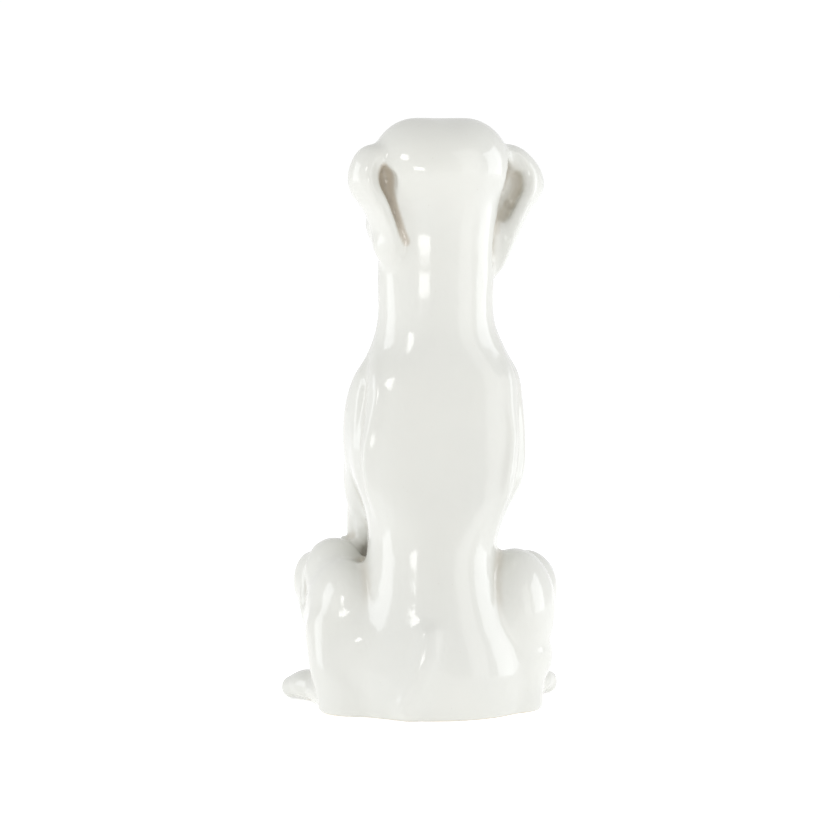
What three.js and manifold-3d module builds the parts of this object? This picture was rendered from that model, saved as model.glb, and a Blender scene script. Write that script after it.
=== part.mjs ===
// A seated, drop-eared dog in glazed ceramic: hollow slip-cast pieces that are luted together with slip.
// Millimetres, +Z up. The dog faces -Y and its left side is +X, so the photographed back faces +Y.

import * as THREE from "three";
import { mergeVertices } from "three/addons/utils/BufferGeometryUtils.js";
import Module from "manifold-3d";

const wasm = await Module();
wasm.setup();

// Castings
const wall = 6; // thickness of the slip-cast wall
const limbWall = 5; // thickness of the wall of a hollow foreleg
const slipGap = 0.3; // layer of slip between two luted pieces
const airHoleDiameter = 8; // pierced through the trunk where a hollow limb joins it
const neckSeam = 284; // height of the seam between the trunk and the head casting
const collarDepth = 7; // how far the head's collar reaches down into the neck
const collarWall = 2.6;

// Base
const plateThickness = 6; // slab that closes the bottom of the trunk
const plateRecess = 1.5; // the dog stands on the rim of the trunk, not on the slab
const ventDiameter = 22;
const ventY = 34;

// Pose
const headCentre = [-9.5, -18, 348]; // middle of the skull
const headTurn = THREE.MathUtils.degToRad(15); // the nose turns to the dog's left
const forelegsX = -2; // middle between the two forelegs
const stance = 38; // from the middle of the chest to the middle of a foreleg
const kneeSpread = 70; // from the middle of the trunk to a knee
const leftKneeLift = 4; // the left knee is carried higher than the right one
const haunchesX = -1.5; // middle between the two haunches
const hindFeetX = 1.5; // middle between the two hind feet
const rightEarFlare = 16; // the right ear stands this much further off the skull than the left one

// How finely the round forms are drawn
const trunkSides = 30;
const trunkRise = 14; // between two level cuts of the trunk
const limbSides = 12;
const massSides = 14;
const toeSides = 8;

const left = { name: "left", sign: 1, kneeLift: leftKneeLift, earFlare: 0 };
const right = { name: "right", sign: -1, kneeLift: 0, earFlare: rightEarFlare };
const sides = [left, right];

// The trunk, cut level: at each height its middle, half its width, and where its back, widest part and
// front lie
const trunkLevels = [
  { z: 0, middle: -1, half: 65, back: 87, widest: 22, front: -26 },
  { z: 24, middle: -1, half: 66, back: 90, widest: 22, front: -28 },
  { z: 50, middle: 0, half: 61, back: 87, widest: 22, front: -30 },
  { z: 78, middle: 0, half: 49, back: 79, widest: 20, front: -34 },
  { z: 106, middle: 0, half: 42, back: 69, widest: 18, front: -38 },
  { z: 130, middle: -4, half: 49, back: 60, widest: 8, front: -47 },
  { z: 155, middle: -6, half: 57, back: 52, widest: 0, front: -58 },
  { z: 182, middle: -6, half: 60, back: 45, widest: -6, front: -66 },
  { z: 208, middle: -7, half: 59, back: 39, widest: -9, front: -68 },
  { z: 228, middle: -8, half: 55, back: 34, widest: -10, front: -64 },
  { z: 246, middle: -8, half: 45, back: 30, widest: -10, front: -57 },
  { z: 264, middle: -7, half: 40, back: 26, widest: -11, front: -50 },
  { z: 290, middle: -7, half: 39, back: 21, widest: -12, front: -45 },
  { z: 316, middle: -8, half: 38, back: 19, widest: -13, front: -43 },
  { z: 340, middle: -9, half: 37, back: 17, widest: -13, front: -40 },
];
const trunkTop = trunkLevels[trunkLevels.length - 1].z;

// A closed geometry as a solid that can be joined and cut
function solid(geometry) {
  const bare = geometry.clone();
  bare.deleteAttribute("normal");
  bare.deleteAttribute("uv");
  const merged = mergeVertices(bare, 1e-4);
  const vertProperties = merged.attributes.position.array;
  const triVerts = new Uint32Array(merged.index.array);
  return new wasm.Manifold(new wasm.Mesh({ numProp: 3, vertProperties, triVerts }));
}

function join(...solids) {
  return solids.reduce((whole, part) => whole.add(part));
}

function bothSides(make) {
  return join(...sides.map(make));
}

// Skins a stack of rings with the same number of points each, and closes both ends
function skin(rings) {
  const count = rings[0].length;
  const points = rings.flat();
  const index = [];
  for (let r = 0; r + 1 < rings.length; r++) {
    for (let s = 0; s < count; s++) {
      const next = (s + 1) % count;
      const [a, b] = [r * count + s, r * count + next];
      index.push(a, b, b + count, a, b + count, a + count);
    }
  }
  const closeEnd = (ring, start, edgeOrder) => {
    points.push(ring.reduce((sum, p) => sum.add(p), new THREE.Vector3()).divideScalar(count));
    for (let s = 0; s < count; s++) {
      index.push(...edgeOrder([start + s, start + ((s + 1) % count)]), points.length - 1);
    }
  };
  closeEnd(rings[0], 0, (edge) => edge.reverse());
  closeEnd(rings[rings.length - 1], (rings.length - 1) * count, (edge) => edge);
  const geometry = new THREE.BufferGeometry().setFromPoints(points);
  geometry.setIndex(index);
  return geometry;
}

// A level cut of the trunk: half an ellipse behind its widest line and half an ellipse before it
function levelRing(level, grow) {
  const ring = [];
  for (let s = 0; s < trunkSides; s++) {
    const angle = (2 * Math.PI * s) / trunkSides;
    const depth = Math.sin(angle) > 0 ? level.back - level.widest : level.widest - level.front;
    const x = level.middle + (level.half + grow) * Math.cos(angle);
    const y = level.widest + (depth + grow) * Math.sin(angle);
    ring.push(new THREE.Vector3(x, y, level.z));
  }
  return ring;
}

// The trunk's outer form, grown or shrunk by a distance, between two heights
function trunkForm(grow, bottom, top, rise = trunkRise) {
  const keys = ["middle", "half", "back", "widest", "front"];
  const heights = trunkLevels.map((level) => level.z);
  const table = trunkLevels.flatMap((level) => keys.map((key) => level[key]));
  const smooth = new THREE.CubicInterpolant(heights, table, keys.length);
  const count = Math.max(1, Math.round((top - bottom) / rise));
  const rings = [];
  for (let r = 0; r <= count; r++) {
    const z = THREE.MathUtils.lerp(bottom, top, r / count);
    const values = smooth.evaluate(THREE.MathUtils.clamp(z, 0, trunkTop));
    const level = Object.fromEntries(keys.map((key, k) => [key, values[k]]));
    rings.push(levelRing({ ...level, z }, grow));
  }
  return solid(skin(rings));
}

// An egg-shaped mass: its centre, its three half-lengths and how it is turned, in degrees about X, Y and Z
function mass([x, y, z], [rx, ry, rz], turn = [0, 0, 0], grow = 0, count = massSides) {
  const geometry = new THREE.SphereGeometry(1, count, Math.round(count * 0.6));
  geometry.rotateX(Math.PI / 2);
  geometry.scale(rx + grow, ry + grow, rz + grow);
  const euler = new THREE.Euler(...turn.map(THREE.MathUtils.degToRad));
  geometry.applyMatrix4(new THREE.Matrix4().makeRotationFromEuler(euler));
  geometry.translate(x, y, z);
  return solid(geometry);
}

// A limb with round ends, through stations that each say where it is, half its width and half its depth
function limb(stations, grow = 0, ringsPerStation = 2) {
  const path = new THREE.CatmullRomCurve3(stations.map((s) => new THREE.Vector3(...s.at)));
  const sizes = new THREE.CatmullRomCurve3(stations.map((s) => new THREE.Vector3(s.wide, s.deep, 0)));
  const section = (t, along, shrink) => {
    const tangent = path.getTangent(t).normalize();
    const across = new THREE.Vector3(1, 0, 0).addScaledVector(tangent, -tangent.x).normalize();
    const through = new THREE.Vector3().crossVectors(tangent, across);
    const size = sizes.getPoint(t).addScalar(grow);
    const centre = path.getPoint(t).addScaledVector(tangent, along * Math.min(size.x, size.y));
    const ring = [];
    for (let s = 0; s < limbSides; s++) {
      const angle = (2 * Math.PI * s) / limbSides;
      const point = centre.clone().addScaledVector(across, shrink * size.x * Math.cos(angle));
      ring.push(point.addScaledVector(through, shrink * size.y * Math.sin(angle)));
    }
    return ring;
  };
  const dome = [0.25, 0.62].map((share) => (share * Math.PI) / 2);
  const count = ringsPerStation * (stations.length - 1);
  const shaft = Array.from({ length: count + 1 }, (_, r) => section(r / count, 0, 1));
  const start = dome.map((angle) => section(0, -Math.cos(angle), Math.sin(angle)));
  const end = dome.map((angle) => section(1, Math.cos(angle), Math.sin(angle))).reverse();
  return solid(skin([...start, ...shaft, ...end]));
}

// A round bar between two points, used to pierce the air holes and the vent
function bar(from, to, diameter, count = 10) {
  const start = new THREE.Vector3(...from);
  const end = new THREE.Vector3(...to);
  const geometry = new THREE.CylinderGeometry(diameter / 2, diameter / 2, start.distanceTo(end), count);
  const direction = end.clone().sub(start).normalize();
  geometry.applyQuaternion(new THREE.Quaternion().setFromUnitVectors(new THREE.Vector3(0, 1, 0), direction));
  geometry.translate(...start.add(end).divideScalar(2));
  return solid(geometry);
}

// Everything between two heights, to cut level seams
function slab(bottom, top) {
  const reach = 400;
  const geometry = new THREE.BoxGeometry(reach, reach, top - bottom);
  geometry.translate(0, 0, (bottom + top) / 2);
  return solid(geometry);
}

function aboveGround(made) {
  return made.intersect(slab(0, 500));
}

// Shoulder blade and upper arm, which stand proud of the ribs on both sides
function shoulders(grow) {
  const middle = trunkLevels.find((level) => level.z === 182).middle;
  return bothSides(({ sign }) =>
    join(
      mass([middle + sign * 43, -14, 180], [20, 34, 54], [-12, sign * 2, 0], grow),
      mass([forelegsX + sign * 42, -30, 156], [14, 24, 40], [-10, 0, 0], grow),
    ),
  );
}

function trunkOuter(grow) {
  return join(trunkForm(grow, 0, trunkTop), shoulders(grow));
}

// A foreleg from inside the shoulder, down past the elbow to the wrist
function forelegStations({ sign }) {
  const x = forelegsX + sign * stance;
  return [
    { at: [x, -32, 152], wide: 14, deep: 20 },
    { at: [x, -44, 118], wide: 14, deep: 17 },
    { at: [x, -54, 80], wide: 13, deep: 14 },
    { at: [x, -60, 44], wide: 13, deep: 13.5 },
    { at: [x, -66, 20], wide: 13.5, deep: 13.5 },
  ];
}

// A paw that points along its heading, in degrees from -Y towards +X, with four toes
function paw([x, y, z], length, width, heading, grow = 0) {
  const turn = new THREE.Euler(0, 0, THREE.MathUtils.degToRad(heading));
  const place = (forward, aside) => {
    const offset = new THREE.Vector3(aside, -forward, 0).applyEuler(turn);
    return [x + offset.x, y + offset.y, z];
  };
  const toes = [
    { aside: -0.34, forward: 0.3, high: 0.72 },
    { aside: -0.12, forward: 0.38, high: 0.8 },
    { aside: 0.12, forward: 0.38, high: 0.8 },
    { aside: 0.34, forward: 0.3, high: 0.72 },
  ].map((toe) => {
    const [toeX, toeY] = place(toe.forward * length, toe.aside * width);
    const high = toe.high * z;
    return mass([toeX, toeY, high], [width * 0.15, length * 0.2, high], [0, 0, heading], grow, toeSides);
  });
  return join(mass([x, y, z], [width / 2, length / 2, z], [0, 0, heading], grow), ...toes);
}

function forelegOuter(side, grow = 0) {
  const pawCentre = [forelegsX + side.sign * (stance + 1), -78, 13];
  return aboveGround(join(limb(forelegStations(side), grow), paw(pawCentre, 46, 36, side.sign * 4, grow)));
}

function thigh({ sign, kneeLift }, grow) {
  return mass([haunchesX + sign * 56, 14, 62 + kneeLift / 2], [31, 49, 48], [8, sign * 8, sign * 6], grow);
}

// Thigh, knee and shin of a hind leg, as one casting that bulges from the side of the trunk
function haunchOuter(side, grow = 0) {
  const { sign, kneeLift } = side;
  const kneeX = haunchesX + sign * kneeSpread;
  const shin = [
    { at: [kneeX, -26, 66 + kneeLift], wide: 15, deep: 18 },
    { at: [hindFeetX + sign * 67.5, 4, 40], wide: 15, deep: 18 },
    { at: [hindFeetX + sign * 64, 32, 18], wide: 14, deep: 16 },
  ];
  const knee = mass([kneeX, -26, 80 + kneeLift], [20, 26, 28], [20, 0, sign * 12], grow);
  const ham = mass([hindFeetX + sign * 57, 35, 26], [21, 27, 36], [-8, 0, 0], grow);
  return aboveGround(join(thigh(side, grow), knee, ham, limb(shin, grow)));
}

// Hock and hind foot, flat on the ground and turned out
function hindFootOuter({ sign }, grow = 0) {
  const stations = [
    { at: [hindFeetX + sign * 62, 36, 8], wide: 13, deep: 11 },
    { at: [hindFeetX + sign * 68, 10, 9], wide: 13, deep: 10 },
    { at: [hindFeetX + sign * 73, -12, 10], wide: 12, deep: 10 },
  ];
  const pawCentre = [hindFeetX + sign * 76, -18, 11];
  return aboveGround(join(limb(stations, grow), paw(pawCentre, 40, 31, sign * 24, grow)));
}

// The tail, pressed to the rump and laid to the dog's left along the ground
function tailOuter() {
  return aboveGround(
    limb([
      { at: [11, 85, 52], wide: 9, deep: 5 },
      { at: [14, 87, 37], wide: 9, deep: 6 },
      { at: [19, 86, 22], wide: 8.5, deep: 6.5 },
      { at: [26, 83, 9], wide: 8, deep: 7 },
    ]),
  );
}

const headPlace = new THREE.Matrix4().makeRotationZ(headTurn).setPosition(...headCentre);
const headUnplace = headPlace.clone().invert();

// A solid made in the trunk's frame, seen from the head's own frame
function inHeadFrame(made) {
  return made.transform(headUnplace.toArray());
}

// The skull, round its own middle and nose towards -Y
function cranium(grow) {
  const crown = mass([0, 3, 17], [26, 38, 34], [0, 0, 0], grow);
  return crown.add(bothSides(({ sign }) => mass([sign * 17, 4, 18], [33, 39, 34], [0, 0, 0], grow)));
}

function muzzle(grow) {
  return limb(
    [
      { at: [0, -20, -7], wide: 29, deep: 27 },
      { at: [0, -46, -14], wide: 22, deep: 22 },
      { at: [0, -74, -15], wide: 18, deep: 18 },
    ],
    grow,
  );
}

function headOuter(grow) {
  return join(
    cranium(grow),
    muzzle(grow),
    mass([0, 10, -18], [38, 30, 40], [0, 0, 0], grow),
    bothSides(({ sign }) => mass([sign * 21, -12, -10], [19, 30, 27], [0, 0, 0], grow)),
    bothSides(({ sign }) => mass([sign * 15, -24, 17], [16, 17, 13], [0, 0, 0], grow)),
    bothSides(({ sign }) => mass([sign * 9, -62, -25], [12, 27, 12], [0, 0, sign * -4], grow)),
    mass([0, -40, -36], [18, 40, 12], [-2, 0, 0], grow),
  );
}

function eyes() {
  return bothSides(({ sign }) => mass([sign * 20, -37, 9], [8, 7, 7], [0, 0, 0], 0, toeSides));
}

function nose() {
  return mass([0, -88, -8], [12, 9, 9], [0, 0, 0], 0, toeSides);
}

// The ear's leather: where its rear edge, its outermost line and its front edge run, from root to tip
const earLeather = [
  { rear: [33, 12, 25], outermost: [36, 0, 30], front: [34, -14, 24], thick: 9 },
  { rear: [42, 18, 25], outermost: [52, 1, 28], front: [45, -16, 24], thick: 8 },
  { rear: [45, 21, 18], outermost: [58, 0, 21], front: [52, -18, 16], thick: 8 },
  { rear: [43, 23, 5], outermost: [58, -1, 7], front: [52, -20, 3], thick: 8 },
  { rear: [38, 26, -10], outermost: [49, 1, -6], front: [46, -18, -10], thick: 8 },
  { rear: [33, 28, -28], outermost: [44, 7, -24], front: [43, -12, -26], thick: 8 },
  { rear: [32, 27, -41], outermost: [43, 12, -41], front: [41, -3, -41], thick: 8 },
  { rear: [33, 23, -52], outermost: [39, 14, -54], front: [38, 5, -52], thick: 7 },
];
const earSteps = 18;
const earWidthSteps = 6;

function earOuter({ sign, earFlare }) {
  const rail = (key, flareShare) =>
    new THREE.CatmullRomCurve3(
      earLeather.map((station, i) => {
        const [x, y, z] = station[key];
        const belly = Math.sin((Math.PI * i) / (earLeather.length - 1)) ** 2;
        return new THREE.Vector3(sign * (x + flareShare * earFlare * belly), y, z);
      }),
    );
  const [rear, outermost, front] = [rail("rear", 0.2), rail("outermost", 1), rail("front", 0.8)];
  const thicks = earLeather.map((station) => new THREE.Vector3(station.thick, 0, 0));
  const thickness = new THREE.CatmullRomCurve3(thicks);
  const rings = [];
  for (let r = 0; r <= earSteps; r++) {
    const t = r / earSteps;
    const across = new THREE.CatmullRomCurve3([rear.getPoint(t), outermost.getPoint(t), front.getPoint(t)]);
    const down = outermost.getTangent(t);
    const half = thickness.getPoint(t).x / 2;
    const outerFace = [];
    const innerFace = [];
    for (let w = 0; w <= earWidthSteps; w++) {
      const u = w / earWidthSteps;
      const outward = new THREE.Vector3().crossVectors(across.getTangent(u), down);
      outward.multiplyScalar(-sign).normalize();
      const roundedEdge = half * Math.sqrt(1 - 0.85 * Math.pow(2 * u - 1, 4));
      outerFace.push(across.getPoint(u).addScaledVector(outward, roundedEdge));
      innerFace.push(across.getPoint(u).addScaledVector(outward, -roundedEdge));
    }
    rings.push(sign < 0 ? [...outerFace, ...innerFace.reverse()] : [...innerFace, ...outerFace.reverse()]);
  }
  return solid(skin(rings));
}

// Each casting, cut back by a layer of slip where it meets its neighbour
function makeTrunk() {
  const hollowTop = neckSeam + wall;
  const hollow = trunkForm(-wall, plateRecess + plateThickness + slipGap, hollowTop, 2 * trunkRise);
  const plateSeat = trunkForm(-wall + slipGap, -wall, plateRecess + plateThickness + 2 * slipGap);
  const airHoles = sides.flatMap(({ sign }) => [
    bar([sign * 20, 14, 60], [sign * 72, 14, 60], airHoleDiameter),
    bar([forelegsX + sign * stance, -16, 140], [forelegsX + sign * stance, -72, 118], airHoleDiameter),
  ]);
  return trunkOuter(0).intersect(slab(0, neckSeam)).subtract(join(hollow, plateSeat, ...airHoles));
}

function makeBasePlate() {
  const plate = trunkForm(-wall, plateRecess, plateRecess + plateThickness);
  return plate.subtract(bar([0, ventY, -wall], [0, ventY, 2 * wall + plateThickness], ventDiameter, 32));
}

function makeHead() {
  const outer = join(headOuter(0), eyes(), nose(), inHeadFrame(trunkForm(0, neckSeam, trunkTop)));
  const collar = inHeadFrame(trunkForm(-wall - slipGap, neckSeam - collarDepth, neckSeam + wall));
  const passage = trunkForm(-wall - slipGap - collarWall, neckSeam - wall - collarDepth, trunkTop + wall);
  const skullHollow = cranium(-wall).add(muzzle(-wall - 1));
  const aboveSeam = inHeadFrame(slab(neckSeam + slipGap, 500));
  return outer.intersect(aboveSeam).add(collar).subtract(inHeadFrame(passage).add(skullHollow));
}

function makeEar(side) {
  return earOuter(side).subtract(headOuter(slipGap).add(inHeadFrame(trunkOuter(slipGap))));
}

function makeForeleg(side) {
  const bore = limb(forelegStations(side), -limbWall);
  return forelegOuter(side).subtract(bore.add(trunkOuter(slipGap)));
}

function makeHaunch(side) {
  const joins = join(thigh(side, -wall), trunkOuter(slipGap), hindFootOuter(side, slipGap));
  return haunchOuter(side).subtract(joins);
}

function makeHindFoot(side) {
  return hindFootOuter(side).subtract(trunkOuter(slipGap));
}

function makeTail() {
  return tailOuter().subtract(trunkOuter(slipGap));
}

const glaze = new THREE.MeshStandardMaterial({ color: 0xe9e8e1, roughness: 0.12, metalness: 0 });
const bisque = new THREE.MeshStandardMaterial({ color: 0xd9cfbb, roughness: 0.85, metalness: 0 });

function casting(name, made, material = glaze) {
  const { vertProperties, triVerts } = made.getMesh();
  const geometry = new THREE.BufferGeometry();
  geometry.setAttribute("position", new THREE.BufferAttribute(vertProperties, 3));
  geometry.setIndex(new THREE.BufferAttribute(triVerts, 1));
  geometry.computeVertexNormals();
  const mesh = new THREE.Mesh(geometry, material);
  mesh.name = name;
  return mesh;
}

const body = new THREE.Group();
body.add(casting("trunk", makeTrunk()));
body.add(casting("base_plate", makeBasePlate(), bisque));
body.add(casting("tail", makeTail()));
for (const side of sides) {
  body.add(casting(`${side.name}_foreleg`, makeForeleg(side)));
  body.add(casting(`${side.name}_haunch`, makeHaunch(side)));
  body.add(casting(`${side.name}_hind_foot`, makeHindFoot(side)));
}

const head = new THREE.Group();
head.position.set(...headCentre);
head.rotation.z = headTurn;
head.add(casting("head", makeHead()));
for (const side of sides) {
  head.add(casting(`${side.name}_ear`, makeEar(side)));
}
body.add(head);

// The middle of the dog's outline stands over the origin
const dog = new THREE.Group();
dog.add(body);
dog.updateMatrixWorld(true);
const outline = new THREE.Box3().setFromObject(dog, true);
const middle = outline.getCenter(new THREE.Vector3());
body.position.set(-middle.x, -middle.y, -outline.min.z);

export default dog;
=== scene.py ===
"""A seated, drop-eared dog in glossy white ceramic, finished round its hollow castings.

The clay is modelled in millimetres on the maker's own axes: the dog faces -Y and its left side is +X.
The finished skin is cut along the castings' seams. Each piece then goes to metres and to its place in the
frame.
"""
import math

import bmesh
import bpy
import numpy as np
from mathutils import Euler, Matrix, Vector
from mathutils.kdtree import KDTree


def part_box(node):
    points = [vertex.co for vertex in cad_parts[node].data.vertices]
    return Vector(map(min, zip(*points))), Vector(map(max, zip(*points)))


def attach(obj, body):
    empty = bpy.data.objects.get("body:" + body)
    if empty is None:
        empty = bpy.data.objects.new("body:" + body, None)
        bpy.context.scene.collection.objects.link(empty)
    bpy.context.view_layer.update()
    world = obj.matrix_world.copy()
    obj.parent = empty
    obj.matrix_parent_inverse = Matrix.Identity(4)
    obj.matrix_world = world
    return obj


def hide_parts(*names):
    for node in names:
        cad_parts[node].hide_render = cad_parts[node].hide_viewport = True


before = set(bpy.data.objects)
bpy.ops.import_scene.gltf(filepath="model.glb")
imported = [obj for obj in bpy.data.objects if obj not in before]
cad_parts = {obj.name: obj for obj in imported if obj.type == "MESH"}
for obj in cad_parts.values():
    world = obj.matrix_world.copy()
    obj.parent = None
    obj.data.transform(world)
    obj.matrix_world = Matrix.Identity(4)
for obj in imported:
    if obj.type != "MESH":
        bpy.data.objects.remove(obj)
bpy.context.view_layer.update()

MM = 0.001
scene = bpy.context.scene

# The castings' sizes, in millimetres
WALL = 6.0
NECK_SEAM = 284.0
PLATE_RECESS = 1.5
PLATE_THICKNESS = 6.0
PLATE_MIDDLE = -1.0  # middle of the base slab across the dog, on the maker's axes
PLATE_BACK = 82.3  # the slab's back edge, on the maker's axes

# The pose
HEAD_CENTRE = Vector((-9.5, -18.0, 348.0))
HEAD_TURN = 15.0  # degrees, towards the dog's left
FORELEGS_X = -2.0  # middle between the forelegs
STANCE = 38.0  # from that middle to each foreleg
HAUNCHES_X = -1.5
HIND_FEET_X = 1.5
RIGHT_EAR_FLARE = 10.0  # how much further the right ear stands off the skull

# How the clay is worked
BODY_FILLET = 8.0  # radius of the soft joins between the body's masses
HEAD_FILLET = 6.0
SKIN_FILLET = 3.0
COARSE = 2.0  # grain of the rough masses
GRAIN = 1.42  # grain of the finished skin
TOOL_GRAIN = 1.6  # grain of the tools that take the castings out of the skin
TOOL_ROOM = 2.5  # how far such a tool stands proud of its casting
HAUNCH_TOOL_ROOM = 0.5
FOOT_ROUND = 3.0  # radius of the foot rim's lower edge
BELOW_GROUND = -14.0  # where the rough trunk starts, before the ground cuts it level
STROKE_REACH = 22.0  # how deep behind a stroke's line the skin still takes it
FAR = 200.0  # well outside the dog
RING_POINTS = 48  # points round a limb; the larger masses have twice as many
SIDES = (1, -1)
SIDE_NAME = {1: "left", -1: "right"}

HEAD_PLACE = Matrix.Translation(HEAD_CENTRE) @ Matrix.Rotation(math.radians(HEAD_TURN), 4, "Z")

# The trunk, cut level: height, middle, half its width, and where its back, widest part and front lie
TRUNK_LEVELS = [
    (0, -1, 65, 87, 22, -26),
    (24, -1, 66, 90, 22, -28),
    (50, 0, 61, 87, 22, -30),
    (78, 0, 50, 79, 20, -34),
    (106, 0, 44, 69, 18, -38),
    (130, -3.5, 47.5, 60, 8, -47),
    (155, -6.5, 58, 52, 0, -58),
    (182, -6, 61, 45, -6, -66),
    (208, -7, 58.5, 39, -9, -68),
    (228, -8, 55, 34, -10, -64),
    (246, -8, 46, 30, -10, -57),
    (264, -7, 40, 26, -11, -50),
    (290, -7, 40, 23, -12, -45),
    (316, -8, 40, 21, -13, -43),
    (340, -9, 41.5, 22, -13, -41),
    (362, -9.5, 43, 24, -14, -36),
    (382, -9.5, 39, 19, -16, -28),
]
TRUNK_TOP = TRUNK_LEVELS[-1][0]
TRUNK_STEPS = 100
LOIN_FLATNESS = 0.26
LOINS = (105, 145, 222, 262)  # heights where the flat loins begin, are flattest, begin to fade and end


def through(stations, count):
    """A smooth curve through rows of numbers, as `count` rows."""
    rows = np.array(stations, float)
    rows = np.vstack([2 * rows[0] - rows[1], rows, 2 * rows[-1] - rows[-2]])
    place = np.linspace(0, len(stations) - 1, count)
    first = np.minimum(place.astype(int), len(stations) - 2)
    u = (place - first)[:, None]
    a, b, c, d = (rows[first + k] for k in range(4))
    squared = (2 * a - 5 * b + 4 * c - d) * u**2
    cubed = (3 * b - a - 3 * c + d) * u**3
    return 0.5 * (2 * b + (c - a) * u + squared + cubed)


def smoothstep(x, low, high):
    """0 below `low`, 1 above `high`, and a smooth rise between them."""
    t = np.clip((x - low) / (high - low), 0, 1)
    return t * t * (3 - 2 * t)


def into(place, points):
    """Points in the axes of a place, and the turn that takes directions there."""
    inverse = np.array(place.inverted())
    turn = inverse[:3, :3].T
    return points @ turn + inverse[:3, 3], turn


# Masses of clay

def egg(bm, centre, radii, turn=(0, 0, 0), grow=0.0, place=None, fine=5):
    """An egg-shaped mass: its centre, its three half-lengths and how it is turned, in degrees."""
    turned = Euler([math.radians(t) for t in turn], "ZYX").to_matrix().to_4x4()
    scaled = Matrix.Diagonal([r + grow for r in radii] + [1])
    matrix = Matrix.Translation(centre) @ turned @ scaled
    if place is not None:
        matrix = place @ matrix
    bmesh.ops.create_icosphere(bm, subdivisions=fine, radius=1, matrix=matrix)


def loft(bm, rings, place=None):
    """Closed clay skinned over a stack of rings that all have the same number of points."""
    own = bmesh.new()
    circles = []
    for i, ring in enumerate(rings):
        is_end = i in (0, len(rings) - 1)
        verts = bmesh.ops.create_circle(own, segments=len(ring), radius=1, cap_ends=is_end)["verts"]
        for vert, point in zip(verts, ring):
            vert.co = point if place is None else place @ Vector(point)
        circles.append(list({edge for vert in verts for edge in vert.link_edges}))
    for below, above in zip(circles, circles[1:]):
        bmesh.ops.bridge_loops(own, edges=below + above)
    mesh = bpy.data.meshes.new("loft")
    own.to_mesh(mesh)
    own.free()
    bm.from_mesh(mesh)
    bpy.data.meshes.remove(mesh)


LIMB_DOME = (0.08, 0.25, 0.45, 0.65, 0.83)  # where a round end's rings lie, from its tip to its rim


def limb(bm, stations, grow=0.0, place=None, steps=26):
    """A limb with round ends. Each station gives x, y, z, half its width along X and half its depth."""
    rows = through(stations, steps)
    path, sizes = rows[:, :3], rows[:, 3:] + grow
    tangents = np.gradient(path, axis=0)
    tangents /= np.linalg.norm(tangents, axis=1)[:, None]
    angles = np.linspace(0, 2 * math.pi, RING_POINTS, endpoint=False)

    def section(i, along, shrink):
        tangent = tangents[i]
        across = np.array([1.0, 0, 0]) - tangent[0] * tangent
        across /= np.linalg.norm(across)
        depth = np.cross(tangent, across)
        centre = path[i] + tangent * along * min(sizes[i])
        wide, deep = shrink * sizes[i]
        return [centre + across * wide * math.cos(a) + depth * deep * math.sin(a) for a in angles]

    dome = [math.pi / 2 * share for share in LIMB_DOME]
    rings = [section(0, -math.cos(a), math.sin(a)) for a in dome]
    rings += [section(i, 0, 1) for i in range(steps)]
    rings += [section(steps - 1, math.cos(a), math.sin(a)) for a in reversed(dome)]
    loft(bm, rings, place)


def trunk(bm, grow, bottom, top=TRUNK_TOP):
    """The trunk between two heights: level half ovals behind and before its widest line."""
    levels = through(TRUNK_LEVELS, 4 * TRUNK_STEPS)
    heights = np.linspace(bottom, top, TRUNK_STEPS)
    columns = [np.interp(np.clip(heights, 0, TRUNK_TOP), levels[:, 0], levels[:, k]) for k in range(1, 6)]
    angles = np.linspace(0, 2 * math.pi, 2 * RING_POINTS, endpoint=False)
    rings = []
    for z, middle, half, back, widest, front in zip(heights, *columns):
        ring = []
        flatness = LOIN_FLATNESS * smoothstep(z, *LOINS[:2]) * (1 - smoothstep(z, *LOINS[2:]))
        for a in angles:
            across, along = math.cos(a), math.sin(a)
            depth = back - widest if along > 0 else widest - front
            if along > 0:
                across = math.copysign(abs(across) ** (1 - flatness), across)
                along = along ** (1 - flatness)
            ring.append((middle + (half + grow) * across, widest + (depth + grow) * along, z))
        rings.append(ring)
    loft(bm, rings)


def shoulder(bm, side, grow):
    """Shoulder blade and upper arm."""
    egg(bm, (-6 + side * 41.5, -14, 182), (21.5, 34, 56), (-12, side * 2, 0), grow)
    egg(bm, (FORELEGS_X + side * 42, -30, 156), (15, 24, 40), (-10, 0, 0), grow)


# Where the two hind legs' masses lie; the left knee is carried higher and the right one further out
THIGH = {1: ((56, 2, 55), (28, 44, 46)), -1: ((-55, 14, 61), (31, 49, 46))}
KNEE = {1: ((62, -24, 86), (22, 26, 26)), -1: ((-73, -26, 74), (22, 26, 27))}
SHIN_LOBE = {1: ((75.5, -42, 79), (13, 16, 22)), -1: ((-75.5, -40, 66), (14, 16, 20))}
SHIN_SPREAD = {1: 9, -1: 2}  # how far the top of the shin stands outside the knee
# The run of the buttock, from the ground up: place, half its width and half its depth
BUTTOCK = {
    1: [(54, 33, -25, 26, 28), (54, 33, 8, 26, 28), (57, 29, 30, 28, 28), (61, 16, 52, 26, 28)],
    -1: [(-50, 30, -25, 25, 31), (-50, 30, 8, 25, 31), (-51.5, 25, 34, 25, 30), (-54, 14, 56, 28, 32)],
}


def low_haunch(bm, side, grow):
    """The part of a haunch that runs softly into the rump."""
    limb(bm, BUTTOCK[side][:3], grow)
    egg(bm, (HAUNCHES_X + side * 53.5, 14, 34), (30, 46, 26), (8, side * 8, side * 6), grow)
    egg(bm, (side * 50, 38, 34), (22, 24, 36), grow=grow)


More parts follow.
